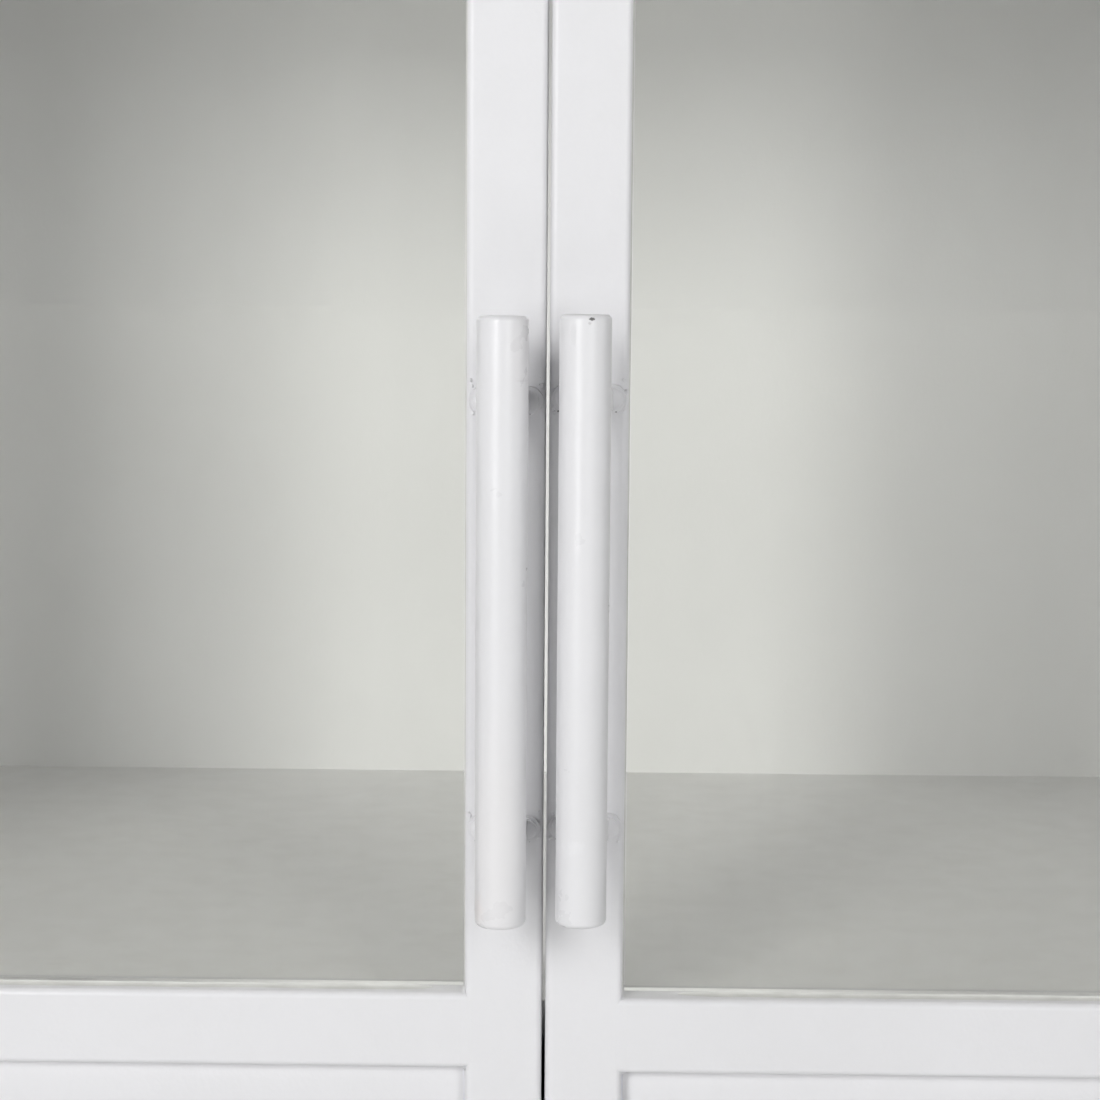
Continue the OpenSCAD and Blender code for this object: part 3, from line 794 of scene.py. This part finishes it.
def make_stitches():
    """Stitch welds behind the back sheets and inside the side sheets."""
    bm = bmesh.new()
    for n, name in enumerate(("upper_back_panel", "lower_back_panel")):
        low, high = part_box(name)
        y = high.y
        stitches(bm, (low.x, y, low.z), (low.x, y, high.z), X, Y, 10 * n + 60)
        stitches(bm, (high.x, y, low.z), (high.x, y, high.z), -X, Y, 10 * n + 63)
        stitches(bm, (low.x, y, high.z), (high.x, y, high.z), -Z, Y, 10 * n + 66)
        stitches(bm, (low.x, y, low.z), (high.x, y, low.z), Z, Y, 10 * n + 69)
    for n, name in enumerate(("upper_side_panels", "lower_side_panels")):
        low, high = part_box(name)
        for m, (x, inward) in enumerate(((low.x + SHEET, X), (high.x - SHEET, -X))):
            seed = 90 + 20 * n + 8 * m
            stitches(bm, (x, low.y, low.z), (x, low.y, high.z), Y, inward, seed)
            stitches(bm, (x, high.y, low.z), (x, high.y, high.z), -Y, inward, seed + 2)
            stitches(bm, (x, low.y, high.z), (x, high.y, high.z), -Z, inward, seed + 4)
    piece("panel_stitch_welds", bm, "carcass", "carcass_white", sharp=60)


# ---------------------------------------------------------------- hinge welds
BARREL, BARREL_LENGTH = 12 * MM, 30 * MM
HINGE_WELD = (3.6 * MM, 2.6 * MM)
HINGE_WELD_MARGIN = 2 * MM


def make_hinge_welds():
    """Weld runs that hold each hinge barrel to its post or its stile."""
    barrel = BARREL / 2
    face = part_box("post_front_left")[0].y
    axis_x = abs(frame["joints"][0]["pos_m"][0])
    first = {side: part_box(side + "_hinge_sleeves")[0].z for side in SIDES}
    below = first["right"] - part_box("hinge_barrels")[0].z
    for side in SIDES:
        s = -1 if side == "left" else 1
        low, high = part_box(side + "_hinge_sleeves")
        pitch = (high.z - low.z - BARREL_LENGTH) / 2
        for body, start_z, toward, slot_name in (
                ("carcass", first[side] - below, 1, "carcass_white"),
                (side + "_door", first[side], -1, "door_white")):
            bm = bmesh.new()
            for n, z in enumerate(start_z + pitch * i for i in range(3)):
                x = s * (axis_x + toward * barrel * 0.62)
                start = Vector((x, face, z + HINGE_WELD_MARGIN))
                end = Vector((x, face, z + BARREL_LENGTH - HINGE_WELD_MARGIN))
                strand(bm, start, end, X * s * toward, -Y, *HINGE_WELD, n + 70,
                       ripple=0.25, pitch=0.003, step=0.0009, uneven=0.15)
            part = "post" if body == "carcass" else "stile"
            piece(f"{side}_hinge_{part}_welds", bm, body, slot_name, sharp=60)


# ---------------------------------------------------------------- build
for side in SIDES:
    make_bar(side)
    make_lug_welds(side)
    make_glazing(side)
make_frame_welds()
make_stitches()
make_hinge_welds()

# ---------------------------------------------------------------- floor and light
FLOOR_SIZE = 120.0
LIT_FROM, LIT_TO = 3.0, 10.0    # where the room's own light on the floor sets in
LIT = 0.3
LAMP_HEIGHT = 1.1               # the point the lamps face
LAMPS = [   # name, azimuth, elevation, distance, width, height, watts
    ("key_left", 28.5, 20, 3.0, 0.9, 1.0, 40.0),
    ("fill_right", -27, 20, 3.0, 0.9, 1.0, 22.0),
    ("low_left", 28.5, 0, 3.0, 0.9, 1.0, 18.0),
    ("low_right", -27, 0, 3.0, 0.9, 1.0, 9.0),
    ("high_left", 75, 45, 3.0, 1.0, 1.0, 6.0),
    ("side_right", -75, 0, 3.0, 1.0, 1.0, 6.0),
    ("rear_left", 145, 25, 3.2, 1.4, 1.4, 36.0),
    ("rear_right", -145, 25, 3.2, 1.4, 1.4, 29.0),
    ("rear_top", 180, 70, 2.6, 1.4, 1.0, 11.0),
]
SKY, SKY_STRENGTH = (0.95, 0.97, 1.0), 0.03
MIRRORED_ROOM = 0.33            # the same room seen in glass and gloss
FADE_FROM, FADE_TO = -0.02, 0.14        # heights between which that fades to the sky
WALL = (0.72, 0.72, 0.72)       # the plain studio wall behind everything
BOUNCES = 6
CEILING_SIZE, CEILING_HEIGHT, CEILING_WATTS = 8.0, 5.0, 12.0


def make_floor():
    """The plain pale floor, lit by the room where the lamps don't reach."""
    mesh = bpy.data.meshes.new("floor")
    half = FLOOR_SIZE / 2
    mesh.from_pydata([(-half, -half, 0), (half, -half, 0), (half, half, 0), (-half, half, 0)],
                     [], [(0, 1, 2, 3)])
    floor = bpy.data.objects.new("floor", mesh)
    scene.collection.objects.link(floor)
    mat, tree, shader = new_material("floor_pale")
    cloud = noise_at(tree, 0.5, 4, 0.6)
    join(tree, blend_colour(tree, cloud, (0.70, 0.70, 0.69), (0.76, 0.76, 0.75)),
         shader.inputs["Base Color"])
    shader.inputs["Roughness"].default_value = 0.7
    out_there = add(tree, "VectorMath", operation="LENGTH")
    tree.links.new(coordinates(tree), out_there.inputs[0])
    shader.inputs["Emission Color"].default_value = (1, 1, 1, 1)
    join(tree, ramp(tree, out_there.outputs["Value"], LIT_FROM, LIT_TO, 0, LIT),
         shader.inputs["Emission Strength"])
    mesh.materials.append(mat)


def softbox(name, azimuth, elevation, distance, width, height, power, target):
    """A soft rectangular lamp that faces the target, by the angles it is seen at."""
    a, e = math.radians(azimuth), math.radians(elevation)
    away = Vector((-math.sin(a) * math.cos(e), -math.cos(a) * math.cos(e), math.sin(e)))
    data = bpy.data.lights.new(name, "AREA")
    data.shape, data.size, data.size_y = "RECTANGLE", width, height
    data.energy = power
    lamp = bpy.data.objects.new(name, data)
    lamp.location = target + away * distance
    lamp.rotation_euler = (-away).to_track_quat("-Z", "Y").to_euler()
    scene.collection.objects.link(lamp)


def make_lights():
    """The lamps, the world that each kind of ray sees, and the ceiling's glow."""
    middle = Vector((0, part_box("left_meeting_stile")[0].y, LAMP_HEIGHT))
    for lamp in LAMPS:
        softbox(*lamp, middle)
    world = bpy.data.worlds.new("studio")
    scene.world = world
    scene.cycles.diffuse_bounces = BOUNCES
    world.use_nodes = True
    tree = world.node_tree
    dim = tree.nodes["Background"]
    dim.inputs["Color"].default_value = (*SKY, 1)
    dim.inputs["Strength"].default_value = SKY_STRENGTH
    wall = add(tree, "Background", Color=(*WALL, 1), Strength=1.0)
    room = add(tree, "Background", Color=(*SKY, 1))
    way = add(tree, "SeparateXYZ")
    tree.links.new(add(tree, "TexCoord").outputs["Generated"], way.inputs["Vector"])
    join(tree, ramp(tree, way.outputs["Z"], FADE_FROM, FADE_TO, MIRRORED_ROOM,
                    SKY_STRENGTH), room.inputs["Strength"])
    path = add(tree, "LightPath")
    unseen = add(tree, "MixShader")
    tree.links.new(path.outputs["Is Glossy Ray"], unseen.inputs[0])
    tree.links.new(dim.outputs[0], unseen.inputs[1])
    tree.links.new(room.outputs[0], unseen.inputs[2])
    either = add(tree, "MixShader")
    tree.links.new(path.outputs["Is Camera Ray"], either.inputs[0])
    tree.links.new(unseen.outputs[0], either.inputs[1])
    tree.links.new(wall.outputs[0], either.inputs[2])
    out = next(n for n in tree.nodes if n.type == "OUTPUT_WORLD")
    tree.links.new(either.outputs[0], out.inputs["Surface"])
    data = bpy.data.lights.new("ceiling", "AREA")
    data.size, data.energy = CEILING_SIZE, CEILING_WATTS
    lamp = bpy.data.objects.new("ceiling", data)
    lamp.location = (0, 0, CEILING_HEIGHT)
    scene.collection.objects.link(lamp)


make_floor()
make_lights()

# ---------------------------------------------------------------- finish
bpy.context.view_layer.update()
